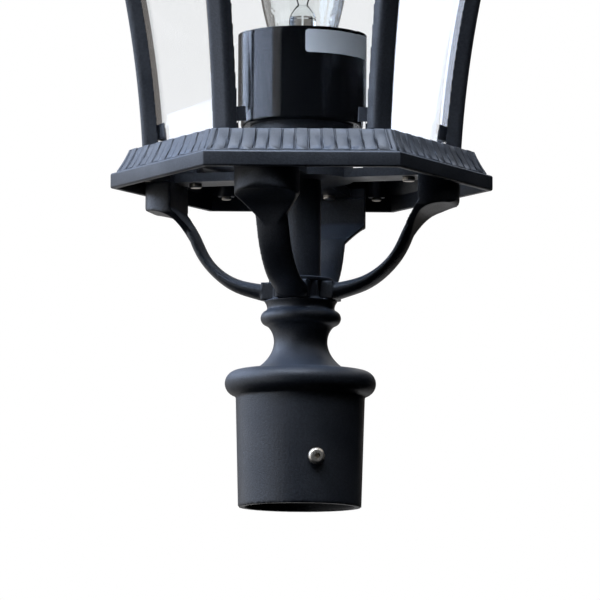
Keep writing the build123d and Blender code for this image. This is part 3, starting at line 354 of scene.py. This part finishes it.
def addStagePiece(name, points, faces, material):
    mesh = bpy.data.meshes.new(name)
    mesh.from_pydata(points, [], faces)
    mesh.materials.append(material)
    piece = bpy.data.objects.new(name, mesh)
    bpy.context.scene.collection.objects.link(piece)
    return piece


def makeCards():
    # screens of cloth round the object and under it, out of the camera's sight: they give the dark
    # and grey sides that gloss and bevels show
    def cloth(name, colour, glow):
        material, tree, where, shader, out = newMaterial(name)
        shader.inputs["Base Color"].default_value = (0, 0, 0, 1) if glow else linearColour(colour)
        shader.inputs["Emission Color"].default_value = linearColour(colour)
        shader.inputs["Emission Strength"].default_value = 1.0 if glow else 0.0
        shader.inputs["Roughness"].default_value = 1.0
        shader.inputs["Specular IOR Level"].default_value = 0.0
        return material
    for name, (start, end, radius, low, high, colour, glow) in cards.items():
        azimuths = [start + (end - start) * i / cardSteps for i in range(cardSteps + 1)]
        points = [atAzimuth(a, radius / mm, z / mm) for a in azimuths for z in (low, high)]
        faces = [(2 * i, 2 * i + 2, 2 * i + 3, 2 * i + 1) for i in range(cardSteps)]
        piece = addStagePiece(name, points, faces, cloth(name + "Cloth", colour, glow))
        piece.visible_camera = False
    ring = [atAzimuth(360 * i / cardSteps, lowCard["radius"] / mm, lowCard["z"] / mm)
            for i in range(cardSteps)]
    lowCloth = cloth("lowCardCloth", lowCard["colour"], 0)
    addStagePiece("lowCard", ring, [tuple(range(cardSteps))], lowCloth).visible_camera = False


def makeWorld():
    # white to the camera, to gloss and through glass, and a plain soft level elsewhere
    world = bpy.data.worlds.new("studio")
    bpy.context.scene.world = world
    world.use_nodes = True
    tree = world.node_tree
    tree.nodes.clear()
    soft = addNode(tree, "ShaderNodeBackground", {"Color": linearColour(stage["worldColour"]),
                   "Strength": stage["worldLight"]})
    white = addNode(tree, "ShaderNodeBackground", {"Color": (1, 1, 1, 1), "Strength": 1.0})
    mix = addNode(tree, "ShaderNodeMixShader", links={0: seenDirectly(tree), 1: soft.outputs[0],
                  2: white.outputs[0]})
    addNode(tree, "ShaderNodeOutputWorld", links={"Surface": mix.outputs[0]})


lampAim = (0, 0, 0.2)
lamps = {
    # azimuth, distance, height (m), width, height of the panel (m), watts, colour
    "skyLeft": (-96, 1.7, 0.9, 2.8, 1.1, 38, "#c6dbff"),
    "skyTop": (-25, 0.8, 1.9, 1.8, 1.3, 80, "#dbe7fb"),
    "skyRight": (140, 2.2, 0.9, 0.7, 0.7, 4, "#fff4ea"),
}


def makeLamps():
    target = Vector(lampAim)
    for name, (azimuth, distance, height, wide, high, power, colour) in lamps.items():
        data = bpy.data.lights.new(name, "AREA")
        data.shape = "RECTANGLE"
        data.size, data.size_y = wide, high
        data.energy = power
        data.color = linearColour(colour)[:3]
        lamp = bpy.data.objects.new(name, data)
        bpy.context.scene.collection.objects.link(lamp)
        lamp.location = atAzimuth(azimuth, distance / mm, height / mm)
        lamp.rotation_euler = (target - lamp.location).to_track_quat("-Z", "Y").to_euler()


camera = {
    "lens": 312,               # mm on a 36 mm sensor: the photograph was taken from about 3 m
    "place": (-0.0005, -2.8965, -0.2288),
    "pitchUp": 6.8,            # degrees
    "roll": 0.35,
}


def makeCamera():
    data = bpy.data.cameras.new("camera")
    data.lens = camera["lens"]
    data.sensor_width = 36
    data.clip_start, data.clip_end = 0.05, 100
    eye = bpy.data.objects.new("camera", data)
    bpy.context.scene.collection.objects.link(eye)
    eye.location = camera["place"]
    tilt = Matrix.Rotation(math.radians(90 + camera["pitchUp"]), 4, "X")
    eye.rotation_euler = (tilt @ Matrix.Rotation(math.radians(camera["roll"]), 4, "Z")).to_euler()
    bpy.context.scene.camera = eye


makeFloor()
makeCards()
makeWorld()
makeLamps()
makeCamera()
bpy.context.scene.view_settings.view_transform = "Standard"
print("stage set")
